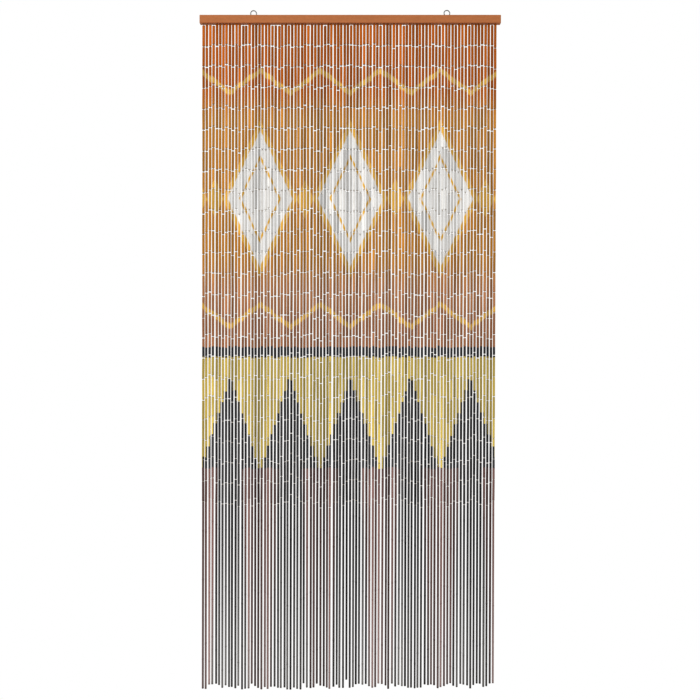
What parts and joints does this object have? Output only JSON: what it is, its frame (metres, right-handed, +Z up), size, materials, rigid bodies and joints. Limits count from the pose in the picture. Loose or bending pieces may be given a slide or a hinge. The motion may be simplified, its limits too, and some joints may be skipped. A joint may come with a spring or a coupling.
{
  "type": "bamboo strand door curtain with header rail",
  "caption": "Door curtain of hanging bamboo strands, short tubes above and one long tube below on each, on a painted wooden header rail with screw eyes on top.",
  "frame": {"origin": "midway between the centres of the two hanging rings, at the middle of the rail's depth", "axes": "+X along the rail to the right as seen from the front, +Y from the front to the back, +Z up"},
  "size_m": [0.9, 0.021, 2.0352],
  "materials": {
    "rail": "painted, satin",
    "strands": "painted bamboo, matt",
    "eyes": "zinc plated"
  },
  "bodies": {
    "root": {"rail": "rail", "strands": "strands", "eye_left": "eyes", "eye_right": "eyes"}
  },
  "joints": []
}
